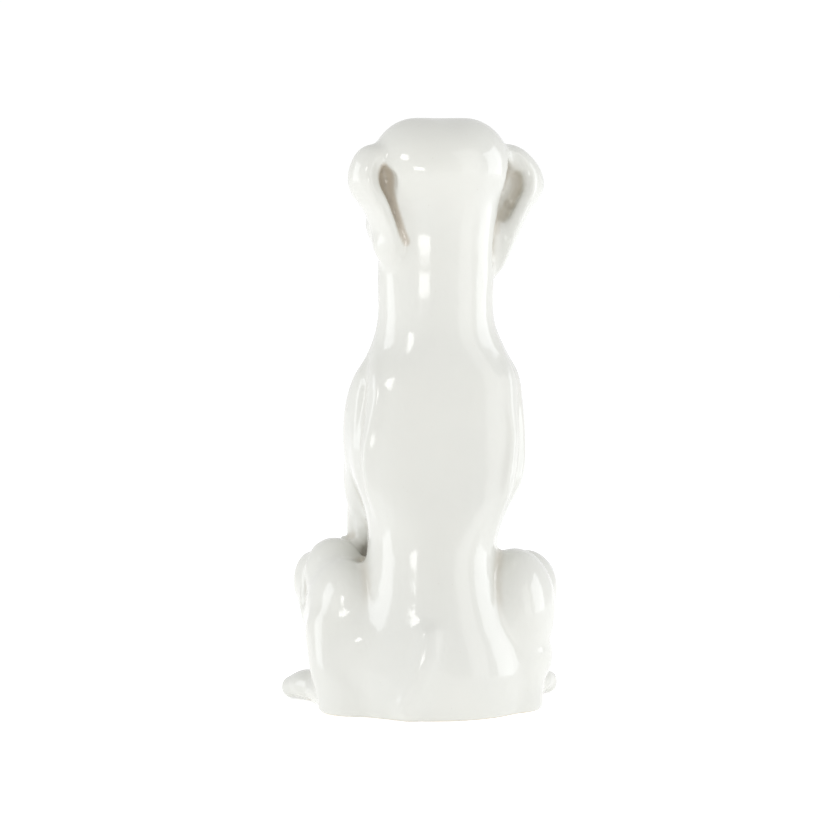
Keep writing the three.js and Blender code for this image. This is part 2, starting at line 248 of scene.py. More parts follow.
def haunch(bm, side, grow):
    """Thigh, knee, shin and buttock of a hind leg."""
    centre, radii = THIGH[side]
    egg(bm, centre, radii, (8, side * 8, side * 6), grow)
    for centre, radii in (KNEE[side], SHIN_LOBE[side]):
        egg(bm, centre, radii, (20, 0, side * 12), grow)
    limb(bm, BUTTOCK[side], grow)
    knee_x, knee_z = KNEE[side][0][0], KNEE[side][0][2]
    shin = [
        (knee_x + side * SHIN_SPREAD[side], -30, knee_z - 18, 15.5, 18),
        (HIND_FEET_X + side * 66, -2, 36, 14, 17),
        (HIND_FEET_X + side * 62, 24, 16, 14, 16),
    ]
    limb(bm, shin, grow)


# A paw's toes: how far aside and forward of its middle, in widths and lengths, and how high
TOES = ((-0.34, 0.3, 0.72), (-0.12, 0.38, 0.8), (0.12, 0.38, 0.8), (0.34, 0.3, 0.72))


def paw(bm, centre, length, width, heading, grow):
    """A paw that points along its heading, in degrees from -Y towards +X, with four toes."""
    x, y, z = centre
    turn = Matrix.Rotation(math.radians(heading), 3, "Z")
    egg(bm, centre, (width / 2, length / 2, z), (0, 0, heading), grow)
    for aside, forward, high in TOES:
        offset = turn @ Vector((aside * width, -forward * length, 0))
        toe = (x + offset.x, y + offset.y, high * z)
        egg(bm, toe, (width * 0.15, length * 0.2, high * z), (0, 0, heading), grow, fine=4)


def foreleg(bm, side, grow):
    """A straight foreleg with its paw."""
    x = FORELEGS_X + side * STANCE
    stations = [
        (x, -32, 152, 16, 20),
        (x, -43, 118, 15, 17.5),
        (x, -53, 82, 13.5, 14.5),
        (x, -59, 52, 12.5, 13.5),
        (x, -62, 34, 13.5, 14),
        (x, -67, 18, 13.5, 13),
    ]
    limb(bm, stations, grow)
    egg(bm, (x, -30, 123), (11.5, 14, 22), (-15, 0, 0), grow)
    paw(bm, (FORELEGS_X + side * (STANCE + 1), -79, 12.5), 46, 37, side * 4, grow)


def hind_foot(bm, side, grow):
    """A hind foot from heel to toes."""
    stations = [
        (HIND_FEET_X + side * 63, 24, 8, 13, 10),
        (HIND_FEET_X + side * 68, 8, 9, 13, 10),
        (HIND_FEET_X + side * 73, -12, 10, 12, 10),
    ]
    limb(bm, stations, grow)
    paw(bm, (HIND_FEET_X + side * 76.5, -19, 10.5), 42, 31, side * 26, grow)


def tail(bm, grow):
    """The tail, lying down the back of the rump to the ground."""
    stations = [(10, 83, 58, 8, 5), (13, 85.5, 41, 9, 6), (18, 85, 24, 9, 6.5), (25, 81, 7, 8.5, 7)]
    limb(bm, stations, grow)


SKULL_MIDDLE = (4, 18)  # the dome's middle, back and up from the head's own
SKULL_FLAT = 18  # half the width of the flat top
SKULL_ROUND = (32, 40, 35.1)  # the dome's radii aside, along and up, beyond the flat
SKULL_DIP = 1.3  # depth of the shallow furrow along the top
SKULL_DIP_WIDTH = 7


def cranium(bm, grow):
    """The dome of the skull with its broad, flat top, and the nape below it."""
    aside, along, up = (radius + grow for radius in SKULL_ROUND)
    middle_y, middle_z = SKULL_MIDDLE
    rings = []
    for tilt in np.radians(np.linspace(-84, 84, 44)):
        wide = SKULL_FLAT + aside * math.cos(tilt)
        deep = along * math.cos(tilt)
        height = middle_z + up * math.sin(tilt)
        ring = []
        for a in np.linspace(0, 2 * math.pi, 2 * RING_POINTS, endpoint=False):
            x = wide * math.cos(a)
            dip = SKULL_DIP * math.exp(-((x / SKULL_DIP_WIDTH) ** 2)) * smoothstep(tilt, 0.3, 1.2)
            ring.append((x, middle_y + deep * math.sin(a), height - dip))
        rings.append(ring)
    loft(bm, rings, HEAD_PLACE)
    egg(bm, (0, 8, -18), (38, 30, 40), grow=grow, place=HEAD_PLACE)


def face(bm, grow):
    """Cheeks, brows, muzzle, lips and jaw, with the nose towards -Y of the head's own axes."""
    def part(centre, radii, turn=(0, 0, 0)):
        egg(bm, centre, radii, turn, grow, HEAD_PLACE)

    for side in SIDES:
        part((side * 15, -24, 19), (15, 15, 11.5))
        cheek = [
            (side * 23.5, -8, -18, 18, 22),
            (side * 21.5, -32, -20.5, 18, 20),
            (side * 13, -57, -20, 14.5, 17),
            (side * 8.5, -78, -20, 11.5, 15),
        ]
        limb(bm, cheek, grow, HEAD_PLACE)
    part((0, -50, -33), (15, 36, 11.5), (3, 0, 0))
    part((0, -78, -32.5), (10.5, 10, 9))
    bridge = [(0, -20, -6, 28, 26), (0, -44, -11, 21, 19), (0, -66, -9, 17.5, 15), (0, -85, -7, 14, 12)]
    limb(bm, bridge, grow, HEAD_PLACE)


# The ear's leather: rear edge, outermost line and front edge, from root to tip
EAR_REAR = [
    (34, 12, 26), (46, 17, 26), (53.5, 20, 16), (52, 22, 4),
    (46.5, 24, -8), (40, 26.5, -23), (37, 26, -38), (35, 22, -57),
]
EAR_OUTER = [
    (37, 0, 31), (54, 2, 29), (61.5, 2, 17), (60, 1, 4),
    (49.5, 3, -9), (45, 6, -24), (46, 7, -36), (39, 13, -58),
]
EAR_FRONT = [
    (34, -14, 24), (46, -15, 23), (51, -19, 14), (49, -21, 2),
    (44, -19, -11), (41, -12, -26), (41, -5, -39), (36.5, 5, -57),
]
EAR_THICK = 9.0
EAR_STEPS = 60
EAR_WIDTH_STEPS = 20
EAR_FLARE_SHARE = (0.55, 1.4, 0.4)  # how much of the flare each of the three lines takes


def ear(bm, side, grow):
    """A leaf of even clay through the three lines, thin at its edges and closed at its tip."""
    flare = RIGHT_EAR_FLARE if side < 0 else 0.0

    def rail(stations, share):
        count = len(stations) - 1
        moved = [
            (side * (x + share * flare * math.sin(math.pi * i / count) ** 2), y, z)
            for i, (x, y, z) in enumerate(stations)
        ]
        return through(moved, EAR_STEPS)

    rear, outer, front = map(rail, (EAR_REAR, EAR_OUTER, EAR_FRONT), EAR_FLARE_SHARE)
    down = np.gradient(outer, axis=0)
    closing = np.sqrt(1 - np.clip(np.linspace(-1.35, 1, EAR_STEPS), 0, 0.97) ** 4)
    u = np.linspace(-1, 1, EAR_WIDTH_STEPS)
    half = (EAR_THICK / 2 * np.sqrt(1 - 0.85 * u**4) * (1 + 0.2 * smoothstep(-u, 0, 1)) + grow)[:, None]
    rings = []
    for i in range(EAR_STEPS):
        across = through([rear[i], outer[i], front[i]], EAR_WIDTH_STEPS)
        middle = across.mean(axis=0)
        across = middle + (across - middle) * closing[i]
        outward = -side * np.cross(np.gradient(across, axis=0), down[i])
        outward /= np.linalg.norm(outward, axis=1)[:, None]
        lift = outward * half * closing[i]
        rings.append([Vector(p) for p in np.vstack([across + lift, (across - lift)[::-1]])])
    loft(bm, rings, HEAD_PLACE)


# The hollow behind each ear, as it shows from the back: where it lies, half its width and half its depth
EAR_HOLLOW = {
    1: [
        (46.5, 20, 19, 2, 8), (45.5, 20, 14, 5, 9), (44.8, 20, 8, 5.2, 9), (43.2, 21, 1, 3.4, 8),
        (41, 23, -7, 2.5, 8), (38.8, 25, -15, 2.2, 8), (36.5, 27, -24, 2, 7), (34.2, 29, -31, 1.9, 6),
    ],
    -1: [
        (-42.5, 18, 20, 3.5, 8), (-44.5, 19, 14, 10, 9), (-45, 20, 7, 10.5, 9), (-42, 22, -1, 5.5, 8),
        (-39, 24, -8, 3.2, 8), (-36.5, 25, -15, 2.3, 8), (-35, 26, -24, 2, 7),
    ],
}


def ear_backing(bm, side, grow):
    """The clay in front of an ear's hollow, between the leather and the skull."""
    stations = [(x, y - 22, z, wide + 3.5, 13) for x, y, z, wide, _ in EAR_HOLLOW[side]]
    limb(bm, stations, grow, HEAD_PLACE)


def meshed(name, bm):
    """The bmesh as a linked object, with its faces pointing outwards."""
    bmesh.ops.recalc_face_normals(bm, faces=bm.faces)
    mesh = bpy.data.meshes.new(name)
    bm.to_mesh(mesh)
    bm.free()
    made = bpy.data.objects.new(name, mesh)
    scene.collection.objects.link(made)
    return made


def baked(made):
    """Applies the object's modifiers to its mesh."""
    depsgraph = bpy.context.evaluated_depsgraph_get()
    mesh = bpy.data.meshes.new_from_object(made.evaluated_get(depsgraph))
    made.modifiers.clear()
    made.data = mesh
    return made


def fused(name, bm, grain, rounds=0, shrink=0.0, regrain=None):
    """One skin round all the masses: smoothed, drawn in by `shrink` and given an even grain again."""
    made = meshed(name, bm)
    made.modifiers.new("Fuse", "REMESH").mode = "VOXEL"
    made.modifiers["Fuse"].voxel_size = grain
    if rounds:
        made.modifiers.new("Ease", "SMOOTH").iterations = rounds
    if shrink:
        drawn = made.modifiers.new("Draw in", "DISPLACE")
        drawn.strength, drawn.mid_level = -shrink, 0
    if regrain:
        made.modifiers.new("Even", "REMESH").mode = "VOXEL"
        made.modifiers["Even"].voxel_size = regrain
    return baked(made)


def take(bm, made):
    """Adds an object's mesh to the bmesh and removes the object."""
    bm.from_mesh(made.data)
    bpy.data.objects.remove(made)


class Skin:
    """The clay's surface as arrays of points, in which lines can be pressed and seams eased."""

    def __init__(self, made):
        self.made = made
        self.mesh = made.data
        count = len(self.mesh.vertices)
        self.co = np.empty(count * 3, np.float32)
        self.mesh.vertices.foreach_get("co", self.co)
        self.co = self.co.reshape(-1, 3).astype(float)
        edges = np.empty(len(self.mesh.edges) * 2, np.int32)
        self.mesh.edges.foreach_get("vertices", edges)
        self.edges = edges.reshape(-1, 2)
        self.valence = np.bincount(self.edges.ravel(), minlength=count)[:, None]

    def normals(self):
        """Lays the moved points back into the mesh, and gives the way that each faces."""
        self.mesh.vertices.foreach_set("co", self.co.astype(np.float32).ravel())
        self.mesh.update()
        found = np.empty(len(self.co) * 3, np.float32)
        self.mesh.vertex_normals.foreach_get("vector", found)
        return found.reshape(-1, 3).astype(float)

    def neighbours(self, values):
        """The mean of each point's neighbours."""
        first, second = self.edges.T
        sums = []
        for column in values.T:
            onto_first = np.bincount(first, column[second], len(values))
            onto_second = np.bincount(second, column[first], len(values))
            sums.append(onto_first + onto_second)
        return np.column_stack(sums) / self.valence

    def ease(self, weight, times):
        """Smooths the surface where weight is above 0."""
        for _ in range(times):
            self.co += 0.5 * weight * (self.neighbours(self.co) - self.co)

    def stroke(self, line, width, height, facing, place=None):
        """Raises a rounded line by `height` millimetres where the skin faces `facing`; below 0, a groove."""
        co, normals = self.co, self.normals()
        normals_here = normals
        if place is not None:
            co, turn = into(place, co)
            normals_here = normals @ turn
        view = np.array(Vector(facing).normalized())
        points = through(line, 8 * len(line))
        above = co > points.min(0) - 3 * width - STROKE_REACH
        below = co < points.max(0) + 3 * width + STROKE_REACH
        near = np.all(above & below, axis=1)
        index = np.where(near & (normals_here @ view > 0))[0]
        flat = points - np.outer(points @ view, view)
        spots = co[index] - np.outer(co[index] @ view, view)
        best = np.full(len(index), 1e9)
        share = np.zeros(len(index))
        depth = np.zeros(len(index))
        for k in range(len(points) - 1):
            step = flat[k + 1] - flat[k]
            t = np.clip((spots - flat[k]) @ step / (step @ step), 0, 1)
            gap = np.linalg.norm(spots - flat[k] - t[:, None] * step, axis=1)
            closer = gap < best
            best[closer] = gap[closer]
            share[closer] = (k + t[closer]) / (len(points) - 1)
            depth[closer] = (points[k] + t[closer, None] * (points[k + 1] - points[k])) @ view
        profile = np.exp(-((best / width) ** 2))
        profile *= np.sin(math.pi * np.clip(share, 0.002, 0.998))
        profile *= smoothstep(normals_here[index] @ view, 0.05, 0.3)
        profile *= 1 - smoothstep(np.abs(co[index] @ view - depth), 0.6 * STROKE_REACH, STROKE_REACH)
        self.co[index] += normals[index] * (height * profile)[:, None]


def add_fingers_work(skin):
    """The lines and swells that are worked into the joined masses."""
    # Edges of the back, and the long flutes of the shoulders beside them
    left_edge = [
        (39, 15, 248), (39.7, 22, 229), (38.5, 28, 213), (43.6, 34, 192),
        (48.5, 38, 174), (49, 44, 156), (47, 50, 138), (43, 58, 116),
    ]
    right_edge = [
        (-46, 12, 248), (-50, 16, 229), (-49.5, 22, 205), (-51, 28, 184),
        (-49, 36, 166), (-46, 44, 148), (-42, 52, 125), (-40, 58, 108),
    ]
    for edge, side, out in ((left_edge, 1, 8), (right_edge, -1, -7)):
        skin.stroke(edge, 4, 2.6, (side * 0.3, 1, 0))
        skin.stroke([(x + out, y - 12, z) for x, y, z in edge], 4, -3.2, (side * 0.7, 1, 0))
    skin.stroke([(42, 8, 226), (47, 10, 203), (51, 12, 176)], 2.4, -1.6, (0.5, 1, 0))
    ribs = [(55.5, -6, 166), (55, -8, 150), (51, -4, 135), (45, 4, 124), (42, 16, 112)]
    skin.stroke(ribs, 3, -3.2, (1, 0.4, 0))
    # Between the left knee and the shin in front of it
    shin = [(70, -34, 104), (79, -30, 97), (82, -26, 86), (81.5, -22, 72), (84, -20, 60)]
    skin.stroke(shin, 3, -4.5, (1, 0.6, 0.2))
    # The thin end of the gap behind the right ear
    thin_gap = [(-36, 28, -16), (-34.5, 29, -28), (-34, 30, -42), (-34, 30, -50)]
    skin.stroke(thin_gap, 1.8, -2.4, (-0.4, 1, 0), HEAD_PLACE)
    # Eyelids, lips, nostrils
    for side in SIDES:
        upper = [(side * 30, -27, 9), (side * 26, -37, 15.5), (side * 19, -41, 15.5), (side * 13, -39, 8)]
        lower = [(side * 30, -27, 8), (side * 25, -38, 3.5), (side * 18, -41, 3), (side * 13, -39, 7)]
        skin.stroke(upper, 1.7, 2.0, (side * 0.6, -1, 0.2), HEAD_PLACE)
        skin.stroke(lower, 1.5, 1.3, (side * 0.6, -1, -0.1), HEAD_PLACE)
        lip = [
            (side * 3, -90, -27), (side * 12, -84, -30), (side * 19, -64, -32),
            (side * 23, -46, -31), (side * 27, -36, -25),
        ]
        skin.stroke(lip, 1.6, -2.2, (side, -0.3, 0), HEAD_PLACE)
        nostril = [(side * 4, -98, -5), (side * 6.5, -97, -3), (side * 9.5, -93, -4)]
        skin.stroke(nostril, 1.5, -2.6, (side * 0.5, -1, 0), HEAD_PLACE)
    skin.stroke([(0, -98, -11), (0, -93, -24)], 1.2, -1.4, (0, -1, 0), HEAD_PLACE)


# Where the left and the right haunch's seams are eased into the rump: middle and radius
HAUNCH_SEAMS = (((47, 47, 50), 38), ((-40, 52, 48), 32))
SEAM_ROUNDS = 70


def make_clay():
    """The whole dog as one skin, before it is cut into its castings."""
    body = bmesh.new()
    trunk(body, BODY_FILLET, BELOW_GROUND)
    cranium(body, BODY_FILLET)
    tail(body, BODY_FILLET)
    for side in SIDES:
        shoulder(body, side, BODY_FILLET)
        low_haunch(body, side, BODY_FILLET)
    body_draw = BODY_FILLET - SKIN_FILLET
    lumps = [fused("body_clay", body, COARSE, rounds=12, shrink=body_draw, regrain=COARSE)]
    for side in SIDES:
        leg = bmesh.new()
        haunch(leg, side, BODY_FILLET)
        lumps.append(fused("haunch_clay", leg, COARSE, rounds=10, shrink=body_draw, regrain=COARSE))

    head = bmesh.new()
    cranium(head, HEAD_FILLET)
    face(head, HEAD_FILLET)
    head_draw = HEAD_FILLET - SKIN_FILLET
    lumps.append(fused("head_clay", head, COARSE, rounds=8, shrink=head_draw, regrain=COARSE))

    whole = bmesh.new()
    for lump in lumps:
        take(whole, lump)
    for side in SIDES:
        foreleg(whole, side, SKIN_FILLET)
        hind_foot(whole, side, SKIN_FILLET)
        ear(whole, side, SKIN_FILLET)
        ear_backing(whole, side, SKIN_FILLET)
    whole = fused("joined_clay", whole, GRAIN, rounds=5, shrink=SKIN_FILLET)

    hollows = bmesh.new()
    for side in SIDES:
        limb(hollows, EAR_HOLLOW[side], place=HEAD_PLACE, steps=60)
    hollows = meshed("ear_hollows", hollows)
    boolean(whole, "DIFFERENCE", hollows)
    bpy.data.objects.remove(hollows)

    # Eyeballs, wings of the nose, and its tip
    details = bmesh.new()
    take(details, whole)
    for side in SIDES:
        egg(details, (side * 21.5, -31.5, 9), (8, 7.5, 7.3), place=HEAD_PLACE)
        egg(details, (side * 5.5, -89, -4.5), (7, 7, 6), (0, 0, side * 20), place=HEAD_PLACE)
    egg(details, (0, -88, -1), (11, 9.5, 7.5), (14, 0, 0), place=HEAD_PLACE)
    skin = Skin(fused("clay", details, GRAIN, rounds=3))
    for seam, reach in HAUNCH_SEAMS:
        gap = np.linalg.norm(skin.co - seam, axis=1)[:, None]
        skin.ease(1 - smoothstep(gap, 0.5 * reach, reach), SEAM_ROUNDS)
    add_fingers_work(skin)
    skin.ease(np.ones((len(skin.co), 1)), 2)
    round_foot(skin)
    return skin


def round_foot(skin):
    """Draws the surface in where it meets the ground, so the foot rim's lower edge is round."""
    facing = skin.normals()
    facing[:, 2] = 0
    low = np.clip(FOOT_ROUND - skin.co[:, 2], 0, FOOT_ROUND)
    inset = FOOT_ROUND - np.sqrt(FOOT_ROUND**2 - low**2)
    skin.co -= facing * inset[:, None]


# Castings

def cutter(name, make, *extra):
    """A closed tool that takes one casting out of the skin: the casting's masses, grown a little."""
    bm = bmesh.new()
    make(bm, *extra)
    return fused(name, bm, TOOL_GRAIN, rounds=4)


def boolean(made, operation, tool):
    """Cuts an object with a tool, and applies the cut."""
    change = made.modifiers.new(operation.title(), "BOOLEAN")
    change.operation, change.solver, change.object = operation, "MANIFOLD", tool
    return baked(made)


def block(name, low, high):
    """A plain box between two heights, wider than the dog: a tool for a level cut."""
    bm = bmesh.new()
    size = Matrix.Diagonal((2 * FAR, 2 * FAR, high - low, 1))
    bmesh.ops.create_cube(bm, size=1, matrix=Matrix.Translation((0, 0, (low + high) / 2)) @ size)
    return meshed(name, bm)


def keep_largest(made):
    """Drops the crumbs that a cut leaves beside a casting."""
    bm = bmesh.new()
    bm.from_mesh(made.data)
    unseen = set(bm.verts)
    islands = []
    while unseen:
        start = unseen.pop()
        island, waiting = {start}, [start]
        while waiting:
            for edge in waiting.pop().link_edges:
                for vert in edge.verts:
                    if vert in unseen:
                        unseen.discard(vert)
                        island.add(vert)
                        waiting.append(vert)
        islands.append(island)
    islands.sort(key=len)
    crumbs = [vert for island in islands[:-1] for vert in island]
    bmesh.ops.delete(bm, geom=crumbs, context="VERTS")
    bm.to_mesh(made.data)
    bm.free()


def split(whole):
    """Cuts the skin into its castings, one solid each, along the lines where they were luted together."""
    ground = block("ground", -40, 0)
    boolean(whole, "DIFFERENCE", ground)
    bpy.data.objects.remove(ground)
    castings = {}

    def take_out(name, tool):
        piece = bpy.data.objects.new(name, whole.data.copy())
        scene.collection.objects.link(piece)
        boolean(piece, "INTERSECT", tool)
        keep_largest(piece)
        boolean(whole, "DIFFERENCE", tool)
        bpy.data.objects.remove(tool)
        castings[name] = piece

    for side in SIDES:
        kind = SIDE_NAME[side]
        take_out(f"{kind}_ear", cutter("ear_tool", ear, side, TOOL_ROOM))
        take_out(f"{kind}_foreleg", cutter("foreleg_tool", foreleg, side, TOOL_ROOM))
        take_out(f"{kind}_hind_foot", cutter("foot_tool", hind_foot, side, TOOL_ROOM))
        take_out(f"{kind}_haunch", cutter("haunch_tool", haunch, side, HAUNCH_TOOL_ROOM))
    take_out("tail", cutter("tail_tool", tail, TOOL_ROOM))
    take_out("head", block("head_tool", NECK_SEAM, 500))

    seat = bmesh.new()
    trunk(seat, -WALL, -10, PLATE_RECESS + PLATE_THICKNESS)
    seat = meshed("seat", seat)
    boolean(whole, "DIFFERENCE", seat)
    bpy.data.objects.remove(seat)
    keep_largest(whole)
    whole.name = "trunk"
    castings["trunk"] = whole
    return castings


def frame_shift():
    """From the maker's axes to the frame: the base slab lies in both."""
    low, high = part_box("base_plate")
    return Vector(((low.x + high.x) / 2 - PLATE_MIDDLE * MM, high.y - PLATE_BACK * MM, 0))


def to_frame(made, shift):
    """Brings a finished piece to metres and to the castings' place in the frame."""
    made.data.transform(Matrix.Translation(shift) @ Matrix.Scale(MM, 4))


# Glaze

CREASE_ROUNDS = 70  # how far the skin is evened out to find its creases
CREASE_SHADE_DEPTH = (0.35, 3.2)  # how deep a crease is where the painted shade begins, and where it is darkest
EAR_GAP_SHADE = {1: 0.75, -1: 0.25}  # how strongly the gap behind each ear is darkened and browned: painted shade
CUT_COSINE = 0.4  # below it a face is turned so far from the uncut skin that it is a cut


def crease_and_ear_gap_shade(skin):
    """Painted shade at each point, 0 to 1: darkening in the skin's creases, and deep behind the ears."""
    normals = skin.normals()
    spread = skin.co.copy()
    for _ in range(CREASE_ROUNDS):
        spread = skin.neighbours(spread)
    # Painted shade in the creases: how far each point lies below the evened-out skin
    sunk = ((spread - skin.co) * normals).sum(axis=1)
    in_head, _ = into(HEAD_PLACE, skin.co)
    # Painted shade deep in the gap behind each ear
    deep = np.zeros(len(in_head))
    for side, stations in EAR_HOLLOW.items():
        for x, y, z, wide, far in through(stations, 30):
            gap = (in_head - (x, y - 0.55 * far, z)) / (wide + 1, 0.7 * far, wide + 2)
            share = 1 - smoothstep(np.linalg.norm(gap, axis=1), 0.6, 1.15)
            deep = np.maximum(deep, share * EAR_GAP_SHADE[side])
    return {"crease_shade": smoothstep(sunk, *CREASE_SHADE_DEPTH), "deep": deep}


def even_shading(skin):
    """The way each point faces, evened out with its neighbours."""
    even = skin.normals()
    for _ in range(2):
        even = even + skin.neighbours(even)
        even /= np.linalg.norm(even, axis=1)[:, None]
    return even


def finder(points):
    """Finds the nearest of many points."""
    found = KDTree(len(points))
    for index, point in enumerate(points):
        found.insert(point, index)
    found.balance()
    return found


def dress(piece, nearby, normals, marks):
    """Gives a casting the uncut skin's painted shade marks and even shading, so that no seam shows in the
    glaze.
    """
    mesh = piece.data
    mesh.polygons.foreach_set("use_smooth", [True] * len(mesh.polygons))
    nearest = np.array([nearby.find(vert.co)[1] for vert in mesh.vertices])
    for name, values in marks.items():
        layer = mesh.attributes.new(name, "FLOAT", "POINT")
        layer.data.foreach_set("value", values[nearest].astype(np.float32))
    corner_vert = np.empty(len(mesh.loops), np.int32)
    mesh.loops.foreach_get("vertex_index", corner_vert)
    totals = np.empty(len(mesh.polygons), np.int32)
    mesh.polygons.foreach_get("loop_total", totals)
    flat = np.empty(3 * len(mesh.polygons), np.float32)
    mesh.polygon_normals.foreach_get("vector", flat)
    own = np.repeat(flat.reshape(-1, 3), totals, axis=0)
    wanted = normals[nearest][corner_vert].astype(np.float32)
    is_cut = (own * wanted).sum(axis=1) < CUT_COSINE
    wanted[is_cut] = own[is_cut]
    mesh.normals_split_custom_set(wanted.tolist())


def node(tree, kind, **settings):
    """A new shader node with its settings."""
    made = tree.nodes.new(kind)
    for key, value in settings.items():
        setattr(made, key, value)
    return made


def noise(tree, place, scale, detail=2.0, roughness=0.5):
    """Cloudy noise with `scale` clouds to the metre."""
    made = node(tree, "ShaderNodeTexNoise")
    made.inputs["Scale"].default_value = scale
    made.inputs["Detail"].default_value = detail
    made.inputs["Roughness"].default_value = roughness
    tree.links.new(place, made.inputs["Vector"])
    return made.outputs["Fac"]


def ranged(tree, value, low, high, out_low, out_high):
    """Takes a value from one range to another, and no further."""
    made = node(tree, "ShaderNodeMapRange")
    for name, number in zip(("From Min", "From Max", "To Min", "To Max"), (low, high, out_low, out_high)):
        made.inputs[name].default_value = number
    tree.links.new(value, made.inputs["Value"])
    return made.outputs["Result"]


def mixed(tree, share, first, second):
    """Mixes two colours. Each is a socket or a fixed colour."""
    made = node(tree, "ShaderNodeMix", data_type="RGBA")
    tree.links.new(share, made.inputs["Factor"])
    for name, colour in (("A", first), ("B", second)):
        socket = next(i for i in made.inputs if i.name == name and i.type == "RGBA")
        if isinstance(colour, tuple):
            socket.default_value = (*colour, 1)
        else:
            tree.links.new(colour, socket)
    return next(o for o in made.outputs if o.type == "RGBA")


def larger(tree, first, second):
    made = node(tree, "ShaderNodeMath", operation="MAXIMUM")
    tree.links.new(first, made.inputs[0])
    tree.links.new(second, made.inputs[1])
    return made.outputs["Value"]


def mark(tree, name):
    """One of the skin's painted shade marks, in the creases or behind the ears."""
    return node(tree, "ShaderNodeAttribute", attribute_name=name).outputs["Fac"]


def fresh_material(name):
    """A new material with its nodes, its shader and the object's own coordinates."""
    material = bpy.data.materials.new(name)
    material.use_nodes = True
    tree = material.node_tree
    place = node(tree, "ShaderNodeTexCoord").outputs["Object"]
    return material, tree, tree.nodes["Principled BSDF"], place


def bumped(tree, shader, height, distance):
    """Raises the surface by up to `distance` metres."""
    bump = node(tree, "ShaderNodeBump")
    bump.inputs["Distance"].default_value = distance
    tree.links.new(height, bump.inputs["Height"])
    tree.links.new(bump.outputs["Normal"], shader.inputs["Normal"])


GLAZE = (0.675, 0.675, 0.632)
GLAZE_SHADE = (0.65, 0.652, 0.617)
# Colour of the painted shade in the creases, and of the glaze's fine specks
SPECK_AND_CREASE_SHADE = (0.47, 0.43, 0.35)
# Colour of the painted shade deep in the gaps behind the ears
EAR_GAP_SHADE_COLOUR = (0.43, 0.37, 0.29)
BISQUE = (0.66, 0.59, 0.47)
BISQUE_DARK = (0.56, 0.49, 0.38)
GLAZE_IOR = 1.52
GLAZE_WAVES = 0.0011  # height of the waves in the glaze, in metres
BARE_RIM = (0.0001, 0.0005)  # metres above the ground between which the glaze begins
BARE_WOBBLE = 0.0004
BARE_ROUGHNESS = 0.85
BISQUE_PITS = 0.0002  # depth of the bare clay's pits, in metres


def glaze_material():
    """Cream-white glaze with painted shade, darker and browner in the creases and behind the ears, wiped off
    the rim that the dog stands on.
    """
    material, tree, shader, place = fresh_material("white_glaze")
    # Its colour: slow clouds, painted shade in the creases and behind the ears, and a few fine specks
    cloudy = ranged(tree, noise(tree, place, 14, 3), 0.3, 0.7, 0, 1)
    colour = mixed(tree, cloudy, GLAZE, GLAZE_SHADE)
    # Painted shade: the creases darkened and browned
    colour = mixed(tree, ranged(tree, mark(tree, "crease_shade"), 0, 1, 0, 0.75), colour, SPECK_AND_CREASE_SHADE)
    # Painted shade: the gaps behind the ears darkened and browned
    colour = mixed(tree, ranged(tree, mark(tree, "deep"), 0, 1, 0, 0.9), colour, EAR_GAP_SHADE_COLOUR)
    specks = ranged(tree, noise(tree, place, 700, 1), 0.76, 0.8, 0, 0.25)
    colour = mixed(tree, specks, colour, SPECK_AND_CREASE_SHADE)
    # The bare rim, with a slightly uneven edge
    height = node(tree, "ShaderNodeSeparateXYZ")
    tree.links.new(place, height.inputs["Vector"])
    wobble = ranged(tree, noise(tree, place, 60), 0, 1, -BARE_WOBBLE, BARE_WOBBLE)
    edge = node(tree, "ShaderNodeMath", operation="ADD")
    tree.links.new(height.outputs["Z"], edge.inputs[0])
    tree.links.new(wobble, edge.inputs[1])
    bare = ranged(tree, edge.outputs["Value"], *BARE_RIM, 1, 0)
    colour = mixed(tree, bare, colour, BISQUE)
    tree.links.new(colour, shader.inputs["Base Color"])
    # Its gloss, dull on the bare rim
    shine = ranged(tree, noise(tree, place, 45, 2), 0.3, 0.7, 0.07, 0.14)
    dull = larger(tree, shine, ranged(tree, bare, 0, 1, 0, BARE_ROUGHNESS))
    tree.links.new(dull, shader.inputs["Roughness"])
    shader.inputs["IOR"].default_value = GLAZE_IOR
    # Slow waves, with finer ones a twentieth as high
    waves = node(tree, "ShaderNodeMath", operation="MULTIPLY_ADD")
    tree.links.new(noise(tree, place, 160, 1), waves.inputs[0])
    waves.inputs[1].default_value = 0.05
    tree.links.new(noise(tree, place, 26, 2), waves.inputs[2])
    bumped(tree, shader, waves.outputs["Value"], GLAZE_WAVES)
    return material


def bisque_material():
    """Fired clay without glaze, as on the slab under the dog."""
    material, tree, shader, place = fresh_material("bisque")
    grainy = ranged(tree, noise(tree, place, 220, 4, 0.65), 0.3, 0.7, 0, 1)
    colour = mixed(tree, grainy, BISQUE, BISQUE_DARK)
    stain = ranged(tree, noise(tree, place, 18, 3), 0.45, 0.75, 0, 0.5)
    colour = mixed(tree, stain, colour, BISQUE_DARK)
    tree.links.new(colour, shader.inputs["Base Color"])
    tree.links.new(ranged(tree, grainy, 0, 1, 0.8, 0.92), shader.inputs["Roughness"])
    bumped(tree, shader, noise(tree, place, 900, 3, 0.7), BISQUE_PITS)
    return material


FLOOR = (0.985, 0.985, 0.985)
FLOOR_SHADE = (0.975, 0.975, 0.975)
FLOOR_GLOW = 0.33  # so that the floor reads as white as the ground in a photograph on white


def floor_material():
    """Plain matt white, with a slight glow of its own."""
    material, tree, shader, place = fresh_material("pale_floor")
    tone = ranged(tree, noise(tree, place, 3, 2), 0.3, 0.7, 0, 1)
    tree.links.new(mixed(tree, tone, FLOOR_SHADE, FLOOR), shader.inputs["Base Color"])
    shader.inputs["Roughness"].default_value = 0.7
    shader.inputs["Specular IOR Level"].default_value = 0.2
    shader.inputs["Emission Color"].default_value = (1, 1, 1, 1)
    shader.inputs["Emission Strength"].default_value = FLOOR_GLOW
    return material


# Studio. Azimuth 0 is before the dog and 180 behind it. Lengths are in metres, powers in watts

MIDDLE_HEIGHT = 0.2  # what the camera and the lamps look at
WHITE = (1, 1, 1)
COOL = (0.92, 0.95, 1)
